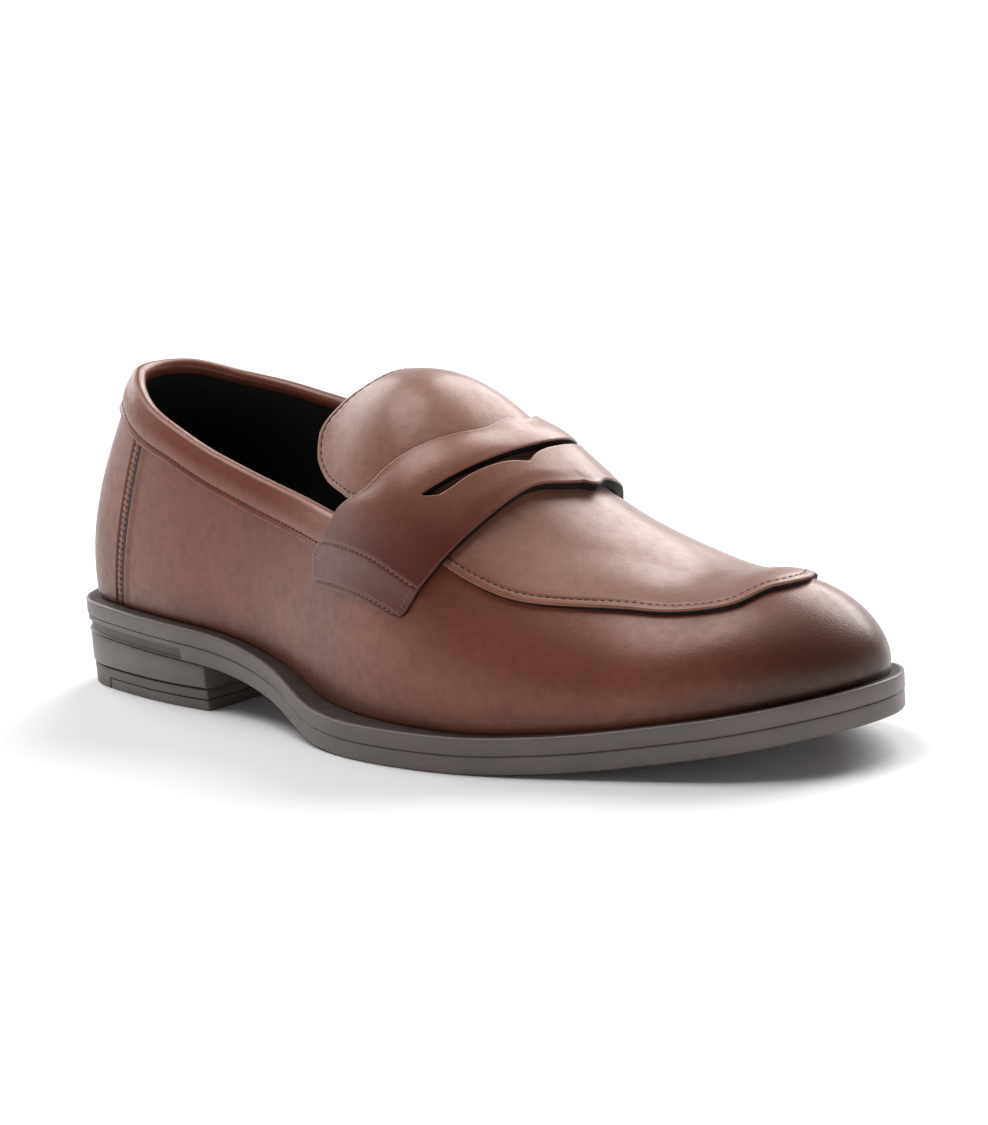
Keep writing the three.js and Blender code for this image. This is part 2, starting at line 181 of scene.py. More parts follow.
def edge_point(u, side, inset):
    e = 1e-4
    u0 = np.clip(u - e, 0, 1)
    u1 = np.clip(u + e, 0, 1)
    dx = LENGTH * (along(u1) - along(u0))
    dy = breadth(u1, side) - breadth(u0, side)
    size = np.hypot(dx, dy)
    nx = -dy * side / size
    ny = dx * side / size
    return LENGTH * (along(u) - 0.5) - inset * nx, breadth(u, side) - inset * ny, nx, ny


# ---- last surface ----
HUB_END = 0.9  # u past which the fan's hub keeps its y, or the toe's lines would cross


def last_point(u, v):
    side = np.where(v < 0, -1, 1)
    foot_x, foot_y, nx, ny = edge_point(u, side, FEATHER_INSET)
    s = along(u)
    hub_x = mix(FAN_HEEL, FAN_TOE, s) - LENGTH / 2
    hub_u = np.minimum(u, HUB_END)
    hub_y = 0.4 * (medial_breadth(hub_u) - lateral_breadth(hub_u))
    roundness = mix(mix(1.9, 2.1, smooth(0, 0.12, s)), 2.2, smooth(0.45, 0.75, s))
    angle = (1 - np.abs(v)) * np.pi / 2
    cos = np.maximum(0, np.cos(angle))
    sin = np.sin(angle)
    reach = (cos**roundness + sin**roundness) ** (-1 / roundness)
    inward = 1 - reach * cos
    rise = reach * sin
    swell = 6.75 * mix(1.2, 1.8, smooth(0.05, 0.3, s)) * rise * (1 - rise) ** 2
    x = foot_x + (hub_x - foot_x) * inward + nx * swell
    y = foot_y + (hub_y - foot_y) * inward + ny * swell
    base = sole_top(foot_x)
    return np.stack([x, y, base + (ridge_height(x + LENGTH / 2) - base) * rise], axis=-1)


def unit(vectors):
    return vectors / np.maximum(np.linalg.norm(vectors, axis=-1, keepdims=True), 1e-12)


def last_normal(u, v):
    e = 1e-3
    seam = (u < 1e-6) | (u > 1 - 1e-6)
    w = np.where(seam, -np.abs(v), v)
    du = last_point(np.minimum(1, u + e), w) - last_point(np.maximum(0, u - e), w)
    after = np.minimum(w + e, np.where(seam, 0, 1))
    dv = last_point(u, after) - last_point(u, np.maximum(-1, w - e))
    normal = unit(np.cross(du, dv))
    flat = seam & (np.abs(v) > 1 - 1e-6)
    normal[..., 2] = np.where(flat, 0, normal[..., 2])
    return unit(normal)


def shell_point(u, v, offset):
    """The point offset millimetres outside the last."""
    u, v, offset = np.broadcast_arrays(np.asarray(u, float), np.asarray(v, float), np.asarray(offset, float))
    seam = (u < 1e-6) | (u > 1 - 1e-6)
    point = last_point(u, np.where(seam, -np.abs(v), v)) + last_normal(u, v) * offset[..., None]
    point[..., 2] = np.maximum(point[..., 2], sole_top(point[..., 0]) - 0.3)
    return point


def v_on_band(u, side, share):
    """The v at which the outer leather reaches a share of the collar band's height, on one side."""
    u, side, share = np.broadcast_arrays(np.asarray(u, float), side, np.asarray(share, float))
    low = np.full(u.shape, 0.02)
    high = np.full(u.shape, 0.9)
    for _ in range(24):
        t = (low + high) / 2
        point = shell_point(u, side * (1 - t), WALL[1])
        below = point[..., 2] < band_level(point[..., 0], side, share)
        low = np.where(below, t, low)
        high = np.where(below, high, t)
    return side * (1 - low)


# ---- places where pieces begin and end ----
APRON_REACH = 0.56
LAP = 0.07
QUARTER_END = 0.53
STRAP_REACH = 0.752
SLOT_REACH = 0.45


def heel_seam(k):
    return 0.206 + 0.045 * k


def strap_rear(v):
    a = np.abs(v)
    flare = 0.0135 * smooth(0.5, 0.58, a) + 0.007 * smooth(0.645, 0.685, a)
    return 0.622 - 0.2 * np.minimum(a, 0.67) - 0.011 * hump(v, 0, 0.09) - flare


def strap_front(v):
    forward = 0.012 * smooth(-0.05, 0.1, v) * smooth(0.5, 0.2, v)  # the edge leans forward past the ridge
    return 0.6695 - 0.1455 * np.abs(v) + 0.0245 * hump(v, 0, 0.12) + forward


def apron_reach(u):
    return mix(APRON_REACH, 0.46, smooth(0.62, 0.78, u))


# ---- meshes ----
def burnish_and_painted_shade(points):
    """How much darker the leather is coloured at each point: burnished at the toe's tip, and painted shade
    low on the walls by the welt.
    """
    at = points[..., 0] + LENGTH / 2
    height = points[..., 2] - sole_top(points[..., 0])
    toe = smooth(240, 300, at) * smooth(46, 12, height)
    # painted shade: the walls darken within 11 mm of the sole, where shade falls by the welt
    low = smooth(11, 1, height)
    return np.clip(0.8 * toe + 0.4 * low, 0, 1)


def make_object(name, points, faces, looks, face_looks=None, shade=burnish_and_painted_shade):
    """An object from points in mm; equal points are merged and normals face out."""
    mesh = bpy.data.meshes.new(name)
    world = (points + np.array([0, SIDE_SHIFT, 0])) * MM
    mesh.from_pydata(world.tolist(), [], faces.tolist() if isinstance(faces, np.ndarray) else faces)
    for look in looks:
        mesh.materials.append(look)
    if face_looks is not None:
        mesh.polygons.foreach_set("material_index", np.asarray(face_looks, dtype=np.int32))
    values = shade(points)
    mesh.attributes.new("shade", "FLOAT", "POINT").data.foreach_set("value", values.astype(np.float32))
    work = bmesh.new()
    work.from_mesh(mesh)
    bmesh.ops.remove_doubles(work, verts=work.verts, dist=4e-6)
    bmesh.ops.dissolve_degenerate(work, dist=1e-7, edges=work.edges)
    bmesh.ops.recalc_face_normals(work, faces=work.faces)
    work.to_mesh(mesh)
    work.free()
    mesh.polygons.foreach_set("use_smooth", np.ones(len(mesh.polygons), dtype=bool))
    mesh.set_sharp_from_angle(angle=math.radians(48))
    piece = bpy.data.objects.new(name, mesh)
    bpy.context.scene.collection.objects.link(piece)
    return piece


def quads(ids, flip=False):
    a, b, c, d = ids[:-1, :-1], ids[1:, :-1], ids[1:, 1:], ids[:-1, 1:]
    order = (a, d, c, b) if flip else (a, b, c, d)
    return np.stack(order, axis=-1).reshape(-1, 4)


WALL_STEPS = 4


def solid(name, outer, inner, looks, walls, bulge=0.0, shade=burnish_and_painted_shade, dark_walls=(), shadow_rows=0):
    """A closed shell between two grids of points. walls names the grid sides that get an edge face:
    "first"/"last" row and "left"/"right" column; dark_walls are those in the second look, as are the
    outer faces of the first and last shadow_rows rows, where the second look is painted shadow."""
    rows, columns = outer.shape[:2]
    o = np.arange(rows * columns).reshape(rows, columns)
    i = o + rows * columns
    points = [outer.reshape(-1, 3), inner.reshape(-1, 3)]
    faces = [quads(o), quads(i, True)]
    face_row = np.repeat(np.arange(rows - 1), columns - 1)
    looks_of = [(face_row < shadow_rows) | (face_row >= rows - 1 - shadow_rows), np.zeros(len(faces[1]))]
    count = 2 * rows * columns
    lines = {
        "first": (np.s_[0, :], np.s_[1, :]),
        "last": (np.s_[-1, :], np.s_[-2, :]),
        "left": (np.s_[:, 0], np.s_[:, 1]),
        "right": (np.s_[:, -1], np.s_[:, -2]),
    }
    for wall in walls:
        at, beside = lines[wall]
        top, low = outer[at], inner[at]
        out = unit(top - outer[beside])
        fade = np.ones(len(top))
        fade[[0, -1]] = 0
        previous = o[at]
        for step in range(1, WALL_STEPS + 1):
            t = step / WALL_STEPS
            if step == WALL_STEPS:
                line = i[at]
            else:
                swell = (bulge * math.sin(math.pi * t) * fade)[:, None]
                points.append(mix(top, low, t) + out * swell)
                line = np.arange(count, count + len(top))
                count += len(top)
            faces.append(quads(np.stack([previous, line])))
            looks_of.append(np.full(len(faces[-1]), 1 if wall in dark_walls else 0))
            previous = line
    points = np.concatenate(points)
    return make_object(name, points, np.concatenate(faces), looks, np.concatenate(looks_of), shade)


def loft(name, rings, looks, looks_of=None, caps=(False, False)):
    """A closed tube through rings of points; looks_of gives each ring segment's look."""
    count, size = rings.shape[:2]
    ids = np.arange(count * size).reshape(count, size)
    faces = quads(np.concatenate([ids, ids[:, :1]], axis=1)).tolist()
    face_looks = ([0] * size if looks_of is None else list(looks_of)) * (count - 1)
    for cap, ring in zip(caps, (ids[0], ids[-1])):
        if cap:
            faces.append(ring.tolist())
            face_looks.append(0)
    return make_object(name, rings.reshape(-1, 3), faces, looks, face_looks, burnish_and_painted_shade)


def rounded(distance, radius):
    """How far a rounded edge drops at a distance from it."""
    d = np.clip(distance, 0, radius)
    return radius - np.sqrt(np.maximum(0, radius**2 - (radius - d) ** 2))


def path_spacing(u0, v0, u1, v1, distances):
    """Points at the given distances (mm, (T, K)) along the straight (u, v) lines from 0 to 1."""
    t = np.linspace(0, 1, 40)
    line = last_point(mix(u0[:, None], u1[:, None], t), mix(v0[:, None], v1[:, None], t))
    steps = np.linalg.norm(np.diff(line, axis=1), axis=-1)
    arc = np.concatenate([np.zeros((len(u0), 1)), np.cumsum(steps, axis=1)], axis=1)
    places = distances(arc[:, -1])
    part = np.stack([np.interp(places[r], arc[r], t) for r in range(len(u0))])
    u = mix(u0[:, None], u1[:, None], part)
    v = mix(v0[:, None], v1[:, None], part)
    return u, v, places


EDGE_STEPS = np.array([0, 0.08, 0.2, 0.4, 0.65, 1.0, 1.4, 1.8, 2.2, 2.6, 3.0, 3.6, 4.4, 5.5])


def from_edge(count):
    """Distances that are fine by the edge and then even to the far end."""

    def distances(total):
        end = np.maximum(total, EDGE_STEPS[-1] + 1)[:, None]
        far = mix(EDGE_STEPS[-1], end, np.linspace(0, 1, count + 1)[1:])
        return np.concatenate([np.broadcast_to(EDGE_STEPS, (len(total), len(EDGE_STEPS))), far], axis=1)

    return distances


# ---- materials ----
def srgb(red, green, blue):
    return tuple(((c / 255 + 0.055) / 1.055) ** 2.4 for c in (red, green, blue)) + (1.0,)


class Look:
    """A node material and the few node patterns that the finishes share."""

    def __init__(self, name, roughness=0.5, **sockets):
        self.material = bpy.data.materials.new(name)
        self.material.use_nodes = True
        self.tree = self.material.node_tree
        self.shader = self.tree.nodes["Principled BSDF"]
        self.place = self.tree.nodes.new("ShaderNodeTexCoord").outputs["Object"]
        self.shader.inputs["Roughness"].default_value = roughness
        for socket, value in sockets.items():
            self.shader.inputs[socket.replace("_", " ")].default_value = value

    def link(self, source, target):
        self.tree.links.new(source, target)

    def noise(self, scale, detail=2.0):
        node = self.tree.nodes.new("ShaderNodeTexNoise")
        node.inputs["Scale"].default_value = scale
        node.inputs["Detail"].default_value = detail
        self.link(self.place, node.inputs["Vector"])
        return node.outputs[0]

    def cells(self, scale):
        node = self.tree.nodes.new("ShaderNodeTexVoronoi")
        node.inputs["Scale"].default_value = scale
        self.link(self.place, node.inputs["Vector"])
        return node.outputs["Distance"]

    def attribute(self, name):
        node = self.tree.nodes.new("ShaderNodeAttribute")
        node.attribute_name = name
        return node.outputs["Fac"]

    def remap(self, source, low, high, to_low, to_high):
        node = self.tree.nodes.new("ShaderNodeMapRange")
        for socket, value in zip(("From Min", "From Max", "To Min", "To Max"), (low, high, to_low, to_high)):
            node.inputs[socket].default_value = value
        self.link(source, node.inputs["Value"])
        return node.outputs["Result"]

    def maths(self, operation, a, b):
        node = self.tree.nodes.new("ShaderNodeMath")
        node.operation = operation
        for socket, value in zip(node.inputs, (a, b)):
            if isinstance(value, (int, float)):
                socket.default_value = value
            else:
                self.link(value, socket)
        return node.outputs[0]

    def blend(self, factor, a, b):
        node = self.tree.nodes.new("ShaderNodeMix")
        node.data_type = "RGBA"
        self.link(factor, node.inputs[0])
        for socket, value in zip((node.inputs[6], node.inputs[7]), (a, b)):
            if isinstance(value, tuple):
                socket.default_value = value
            else:
                self.link(value, socket)
        return node.outputs[2]

    def bump(self, height, strength, distance, below=None):
        node = self.tree.nodes.new("ShaderNodeBump")
        node.inputs["Strength"].default_value = strength
        node.inputs["Distance"].default_value = distance
        self.link(height, node.inputs["Height"])
        if below is not None:
            self.link(below, node.inputs["Normal"])
        return node.outputs["Normal"]

    def finish(self, colour, normal, roughness=None):
        self.link(colour, self.shader.inputs["Base Color"])
        self.link(normal, self.shader.inputs["Normal"])
        if roughness is not None:
            self.link(roughness, self.shader.inputs["Roughness"])
        return self.material


def leather(name, light, base, dark, roughness=0.4, coat=0.25, sheen=0.0):
    tint = (1, 0.72, 0.6, 1)
    look = Look(name, Coat_Weight=coat, Coat_Roughness=0.26, Specular_IOR_Level=0.5, Specular_Tint=tint,
                Sheen_Weight=sheen, Sheen_Roughness=0.4)
    mottle = look.noise(300, 5)
    grain = look.noise(1700, 2)
    tone = look.blend(look.remap(look.noise(26, 3), 0.35, 0.65, 0, 1), base, light)
    tone = look.blend(look.remap(mottle, 0.3, 0.75, 0, 0.22), tone, dark)
    tone = look.blend(look.remap(grain, 0.35, 0.7, 0, 0.16), tone, dark)
    shade = look.maths("ADD", look.attribute("shade"), look.remap(mottle, 0.3, 0.7, -0.07, 0.07))
    colour = look.blend(look.remap(shade, 0, 1, 0, 1), tone, dark)
    pores = look.bump(look.cells(1250), 0.22, 0.00012)
    normal = look.bump(grain, 0.28, 0.00012, pores)
    return look.finish(colour, normal, look.remap(mottle, 0.3, 0.7, roughness - 0.05, roughness + 0.06))


def speckled(name, base, other, scale, roughness, strength=0.15, **sockets):
    """A matt or satin finish with two close colours and a fine bump."""
    look = Look(name, **sockets)
    coarse = look.noise(scale, 4)
    fine = look.noise(scale * 7)
    colour = look.blend(look.remap(coarse, 0.35, 0.65, 0, 1), base, other)
    normal = look.bump(fine, strength, 0.0001)
    return look.finish(colour, normal, look.remap(coarse, 0.3, 0.7, roughness - 0.04, roughness + 0.05))


UPPER = leather("upper_leather", srgb(126, 70, 52), srgb(109, 57, 43), srgb(38, 16, 12))
# apron and tongue: the upper leather painted paler, a painted highlight for the light on their tops
PLUG_LIT_COPY = leather("plug_leather_lit_copy", srgb(142, 94, 74), srgb(125, 79, 62), srgb(56, 28, 22), 0.44, 0.3, 0.3)
COLLAR = leather("collar_leather", srgb(128, 72, 55), srgb(112, 60, 46), srgb(56, 26, 20))
STRAP_LEATHER = leather("strap_leather", srgb(136, 86, 68), srgb(114, 66, 51), srgb(78, 26, 18),
                        0.42, 0.3, 0.2)
EDGE_PAINT = speckled("edge_paint", srgb(26, 18, 18), srgb(18, 12, 12), 400, 0.7, 0.2,
                      Specular_IOR_Level=0.25)
# painted shadow: the dark band on the heel panel where the quarter's lapped edge casts shade
PAINTED_SEAM_SHADOW = speckled("painted_seam_shadow", srgb(42, 27, 22), srgb(32, 20, 16), 500, 0.6, 0.3)
RAW_EDGE = speckled("raw_edge", srgb(150, 108, 86), srgb(124, 84, 66), 700, 0.6, 0.3)
LINING_BLACK = leather("lining_leather", srgb(26, 30, 32), srgb(20, 24, 26), srgb(10, 12, 13), 0.62, 0.0, 0)
SOLE_RUBBER = speckled("sole_rubber", srgb(102, 92, 88), srgb(94, 85, 81), 60, 0.4, 0.12)
STRIPE_RUBBER = speckled("stripe_rubber", srgb(82, 72, 68), srgb(75, 66, 62), 60, 0.5, 0.12)
LIFT_RUBBER = speckled("lift_rubber", srgb(94, 84, 80), srgb(86, 77, 73), 60, 0.5, 0.2)
WELT_TOP = speckled("welt_top", srgb(52, 36, 26), srgb(38, 26, 20), 200, 0.6, 0.3)
THREAD_TAN = speckled("thread_tan", srgb(142, 104, 84), srgb(116, 80, 62), 3000, 0.6, 0.4)
THREAD_DARK = speckled("thread_dark", srgb(44, 28, 24), srgb(34, 22, 20), 3000, 0.6, 0.4)
THREAD_BROWN = speckled("thread_brown", srgb(96, 62, 48), srgb(72, 44, 34), 3000, 0.6, 0.4)
HIDDEN = {
    "fibre_board": speckled("fibre_board", srgb(186, 158, 124), srgb(160, 132, 100), 500, 0.85, 0.4),
    "cork": speckled("cork", srgb(176, 132, 86), srgb(128, 88, 52), 700, 0.9, 0.5),
    "foam": speckled("foam", srgb(226, 218, 204), srgb(210, 200, 184), 900, 0.95, 0.5),
    "steel": speckled("steel", srgb(196, 198, 202), srgb(176, 178, 184), 300, 0.35, 0.1, Metallic=1.0),
    "lining": LINING_BLACK,
    "upper_leather": UPPER,
    "collar_leather": COLLAR,
    "sole_rubber": SOLE_RUBBER,
    "lift_rubber": LIFT_RUBBER,
    "thread": THREAD_TAN,
}


# ---- upper ----
def joined(grids):
    """Two half grids, first side outwards to the end and second side back from it."""
    first, second = grids
    return np.concatenate([first, second[-2::-1]])


def wrap(end, from_u, parts, ks, low_v, high_v):
    """Grids of u, v and part that wrap round the toe (end = 1) or the heel (end = 0)."""
    grids = []
    for side in (-1, 1):
        u = mix(from_u(ks)[None, :], end, parts[:, None])
        v = mix(low_v(u, side), high_v(u, side), ks[None, :])
        grids.append((u, v, np.broadcast_to(parts[:, None], u.shape)))
    return tuple(joined([grid[n] for grid in grids]) for n in range(3))


def place(piece, slot, *nodes, body="shoe"):
    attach(piece, body)
    if nodes:
        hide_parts(*nodes)
    return piece


WALL_LENGTH = 260  # from the heel seam to the toe, along the wall
HEEL_LENGTH = 62  # from the heel seam to the back
WALL_HEIGHT = 55


def even_after(edge, count):
    """Parts 0 to 1 that start with fine steps."""
    return np.concatenate([edge, mix(edge[-1], 1, np.linspace(0, 1, count + 1)[1:])])


def quarter_top(u, side):
    return v_on_band(u, side, 0.79)


def at_foot(u, side):
    return np.full(u.shape, float(side))


def wall_layer(ks, seam_distance, seam_lift):
    """The wall's face: rounded at its foot and seams, and lifted beside a seam that laps."""
    foot = rounded(ks[None, :] * WALL_HEIGHT, 1.6)
    return WALL[1] + seam_lift * smooth(4, 0.5, seam_distance) - rounded(seam_distance, 0.5) - foot


def make_skirt():
    def top(u, side):
        return mix(quarter_top(u, side), side * (apron_reach(u) - LAP), smooth(0.53, 0.6, u))

    ks = even_after(np.array([0, 0.002, 0.005, 0.01, 0.017, 0.027, 0.04]), 34)
    parts = even_after(EDGE_STEPS / WALL_LENGTH, 130)
    u, v, part = wrap(1, lambda k: heel_seam(k) + 0.0015, parts, ks, at_foot, top)
    face = wall_layer(ks, part * WALL_LENGTH, 0.5)
    outer = shell_point(u, v, face)
    inner = shell_point(u, v, WALL[0])
    piece = solid("quarters_and_vamp", outer, inner, [UPPER, EDGE_PAINT], ("first", "last", "left", "right"))
    place(piece, "upper_leather", "skirt")


HEEL_STRIP = 5.2  # width of the seam strip on the heel panel; its first 1.8 mm by the quarter are painted shadow


def make_heel_panel():
    ks = even_after(np.array([0, 0.002, 0.005, 0.01, 0.017, 0.027, 0.04]), 34)
    strip = np.array([0, 0.15, 0.4, 0.8, 1.3, 1.8, 2.3, 2.8, 3.4, 4.0, 4.5, 4.9, 5.1, 5.25, 5.4, 5.7, 6.2])
    parts = even_after(strip / HEEL_LENGTH, 34)
    u, v, part = wrap(0, heel_seam, parts, ks, at_foot, quarter_top)
    distance = part * HEEL_LENGTH
    face = wall_layer(ks, distance, 0) - 0.35 * smooth(HEEL_STRIP + 0.5, HEEL_STRIP, distance)
    face = face - 0.35 * hump(distance, HEEL_STRIP, 0.25) + 0.3 * hump(distance, 3.2, 1.3)
    points = (shell_point(u, v, face), shell_point(u, v, WALL[0]))
    # the rows within 1.8 mm of the heel seam take painted shadow of the quarter's lapped edge
    piece = solid("heel_panel_leather", *points, [UPPER, PAINTED_SEAM_SHADOW], ("first", "last", "left", "right"),
                  shadow_rows=int(np.sum(strip < 1.8)))
    place(piece, "upper_leather", "heel_panel")


BAND_STITCH = 0.86  # share of the band's height


def band_rows():
    parts = np.linspace(0, 1, 110)
    us = mix(QUARTER_END, 0, parts)
    return [(us, np.full(us.shape, float(side))) for side in (-1, 1)]


ROLL_CENTRE, ROLL_RADIUS, ROLL_SHARE = 2.3, 2.35, 0.2


def make_collar():
    """The band round the mouth, rolled over its padded edge."""
    shares = np.array([1.03, 1.03, 1.015, 1.0, 0.975, 0.935,
                       BAND_STITCH + 0.02, BAND_STITCH, BAND_STITCH - 0.02,
                       0.8, 0.72, 0.62, 0.52, 0.42, 0.33, 0.26])
    faces = np.array([4.05, 4.95, 5.22, 5.32, 5.3, 5.2, 5.0, 4.8, 5.0, 5.2, 5.35, 5.45, 5.4, 5.25, 5.0, 4.82])
    inner_shares = np.array([0.26, 0.34, 0.38, 0.6, 0.88])
    inner_faces = np.array([-0.02, 0.1, 0.95, 2.6, 3.6])
    angles = np.linspace(0, math.pi, 13)
    halves = []
    for u, side in band_rows():
        def down(share, face):
            v = v_on_band(u[:, None], side[:, None], share[None, :])
            return shell_point(u[:, None], v, face[None, :])

        centre = down(np.array([ROLL_SHARE]), np.array([ROLL_CENTRE]))[:, 0]
        above = down(np.array([ROLL_SHARE / 2]), np.array([ROLL_CENTRE]))[:, 0]
        normal = last_normal(u, v_on_band(u, side, ROLL_SHARE))
        rise = above - centre
        rise = unit(rise - normal * (rise * normal).sum(axis=-1, keepdims=True))
        swing = normal[:, None] * np.cos(angles)[:, None] + rise[:, None] * np.sin(angles)[:, None]
        roll = centre[:, None] + ROLL_RADIUS * swing
        halves.append(np.concatenate([down(shares, faces), roll, down(inner_shares, inner_faces)], axis=1))
    rings = joined(halves)
    place(loft("collar_band_leather", rings, [COLLAR], caps=(True, True)), "collar_leather", "collar_band")


def lining_top(u, side):
    return v_on_band(u, side, 0.3)


def make_linings():
    ks = np.linspace(0, 1, 26)
    u, v, _ = wrap(0, lambda k: 0.534 + 0 * k, np.linspace(0, 1, 70), ks, at_foot, lining_top)
    walls = ("first", "last", "left", "right")
    quarter = solid("quarter_lining_leather", shell_point(u, v, LINING[1]), shell_point(u, v, LINING[0]),
                    [LINING_BLACK], walls)
    place(quarter, "lining", "quarter_lining")
    across = np.linspace(-1, 1, 61)
    rear = np.maximum(0.536, 0.642 - 0.2 * np.abs(across))
    u = mix(rear[None, :], 1, np.linspace(0, 1, 60)[:, None])
    v = np.broadcast_to(across[None, :], u.shape)
    vamp = solid("vamp_lining_leather", shell_point(u, v, LINING[1]), shell_point(u, v, LINING[0]),
                 [LINING_BLACK], ("first", "left", "right"))
    place(vamp, "lining", "vamp_lining")


# ---- apron ----
APRON_STITCH = 2.2


def apron_outline(u):
    corner = 0.022 * hump(u, 0.838, 0.04) - 0.035 * smooth(0.85, 0.93, u)
    return mix(0.56, 0.478, smooth(0.63, 0.75, u)) + corner


def apron_grid():
    parts = np.linspace(0, 1, 170)
    grids = []
    for side in (-1, 1):
        edge_v = apron_outline(np.full(parts.shape, 0.6))
        u_edge = mix(strap_rear(edge_v) + 0.03, 1, parts)
        edge_v = apron_outline(u_edge)
        u_ridge = mix(strap_rear(0) + 0.024, 1, parts)
        grids.append(path_spacing(u_edge, side * edge_v, u_ridge, side * 0 * parts, from_edge(26)))
    return tuple(joined([grid[n] for grid in grids]) for n in range(3))


def make_apron():
    u, v, distance = apron_grid()
    shown = smooth(-0.012, 0.01, u - strap_front(v))
    lap = smooth(24, 2, distance)
    face = mix(WALL[1], mix(4.4, APRON_EDGE[1], shown), lap)
    face = face - rounded(distance, 0.55) - 0.22 * hump(distance, APRON_STITCH, 0.3)
    back = mix(WALL[0], mix(3.3, APRON_EDGE[0], shown), lap)
    outer = shell_point(u, v, face)
    inner = shell_point(u, v, back)
    piece = solid("apron_leather", outer, inner, [PLUG_LIT_COPY, EDGE_PAINT], ("first", "last", "left"), bulge=0.12,
                  dark_walls=("left",), shade=lambda points: 0.35 * burnish_and_painted_shade(points))
    place(piece, "upper_leather", "apron")
    return u, v


# ---- tongue ----
TONGUE_REACH = 0.545
TONGUE_AT = np.array([0, 0.2, 0.5, 0.7, 0.83, 0.93, 1])  # share of the half-breadth
TONGUE_REAR = np.array([0.488, 0.477, 0.451, 0.441, 0.447, 0.466, 0.496])
TONGUE_STITCH = 2.2


def tongue_outline():
    """Half outline points (u, |v|) from the root under the strap to the middle of the rear edge."""
    w = np.sin(np.linspace(math.pi / 2, 0, 70))
    arch = steady_curve(TONGUE_AT, TONGUE_REAR)(w)
    side = np.linspace(0.526, arch[0], 12)[:-1]
    return np.concatenate([side, arch]), TONGUE_REACH * np.concatenate([np.ones(11), w])


def tongue_grid():
    edge_u, edge_v = tongue_outline()
    root_v = 0.4 * edge_v
    grids = []
    for side in (-1, 1):
        root_u = strap_rear(root_v) + 0.02
        grids.append(path_spacing(edge_u, side * edge_v, root_u, side * root_v, from_edge(24)))
    return tuple(joined([grid[n] for grid in grids]) for n in range(3))


def make_tongue():
    u, v, distance = tongue_grid()
    face = TONGUE[1] - rounded(distance, 0.7) - 0.22 * hump(distance, TONGUE_STITCH, 0.3)
    outer = shell_point(u, v, face)
    inner = shell_point(u, v, TONGUE[0])
    walls = ("first", "last", "left", "right")
    piece = solid("tongue_leather", outer, inner, [PLUG_LIT_COPY, RAW_EDGE], walls, bulge=0.15, dark_walls=("left",),
                  shade=lambda points: 0 * points[..., 0])
    back = shell_point(u, v, TONGUE[0] - 0.05 - rounded(distance, 0.3))
    under = shell_point(u, v, 1.2 + rounded(distance, 0.4))
    lining = solid("tongue_lining_leather", back, under, [LINING_BLACK], walls)
    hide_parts("tongue")
    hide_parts("tongue_lining")
    return u, v, (piece, lining)


# ---- saddle strap ----
TAB_ROWS = (2.0, 12.0)  # of stitches, from the tab's end
SLOT_REAR, SLOT_SLOPE = 0.6435, 0.172
CUSP = -0.12  # v of the notch in the slot's front edge
TAB_CORNER = 4.6


def slot_width(v):
    """The slot in mm: a notch a little off the middle, and a pocket near each end."""
    a = np.abs(v)
    open_end = np.sqrt(np.clip((SLOT_REACH - a) / 0.03, 0, 1))
    cusp = 3.0 * np.exp(-(np.abs((v - CUSP) / 0.05) ** 1.3))
    return (2.0 + cusp + 1.2 * hump(a, 0.4, 0.06)) * open_end


def strap_columns():
    """The v of the strap's columns and their distances from the nearer end."""
    end = np.array([STRAP_REACH])
    by_row = np.array([-4, -2.5, -1.2, -0.6, -0.3, 0, 0.3, 0.6, 1.2])
    fine = np.concatenate([EDGE_STEPS, TAB_ROWS[1] + by_row])
    slot_ends = SLOT_REACH - np.array([0, 0.0015, 0.004, 0.008, 0.014, 0.022, 0.03])

    def distances(total):
        far = np.linspace(13.5, total[0], 62)[None, :]
        return np.concatenate([fine[None, :], far], axis=1)

    _, v, distance = path_spacing(np.array([0.53]), end, np.array([0.66]), 0 * end, distances)
    v, distance = v[0], distance[0]
    extra = np.concatenate([slot_ends, -CUSP + 0.008 * np.arange(-3, 4)])
    v_all = np.concatenate([v, extra])
    order = np.argsort(-v_all)
    v_half = v_all[order]
    d_half = np.interp(-v_half, -v, distance)
    return np.concatenate([-v_half, v_half[-2::-1]]), np.concatenate([d_half, d_half[-2::-1]])


def block_steps(length, count):
    """Distances across a block of leather that are fine at both of its edges."""
    edge = np.array([0, 0.08, 0.2, 0.4, 0.65, 1.0, 1.5, 2.1])
    low = np.broadcast_to(edge, (len(length), len(edge)))
    middle = mix(2.8, length[:, None] - 2.8, np.linspace(0, 1, count))
    return np.concatenate([low, middle, length[:, None] - edge[::-1]], axis=1)


def strap_layer(v, share):
    """Outer and inner offsets at a share (0 rear, 1 front) of the strap's width."""
    front = smooth(0.0, 0.4, share)
    tab = smooth(0.48, 0.64, np.abs(v))
    end = smooth(0.64, 0.71, np.abs(v))
    outer = mix(mix(STRAP_REAR[1], STRAP_FRONT[1], front), mix(6.6, STRAP_TAB[1], end), tab)
    inner = mix(mix(STRAP_REAR[0], STRAP_FRONT[0], front), mix(5.1, STRAP_TAB[0], end), tab)
    return outer, inner


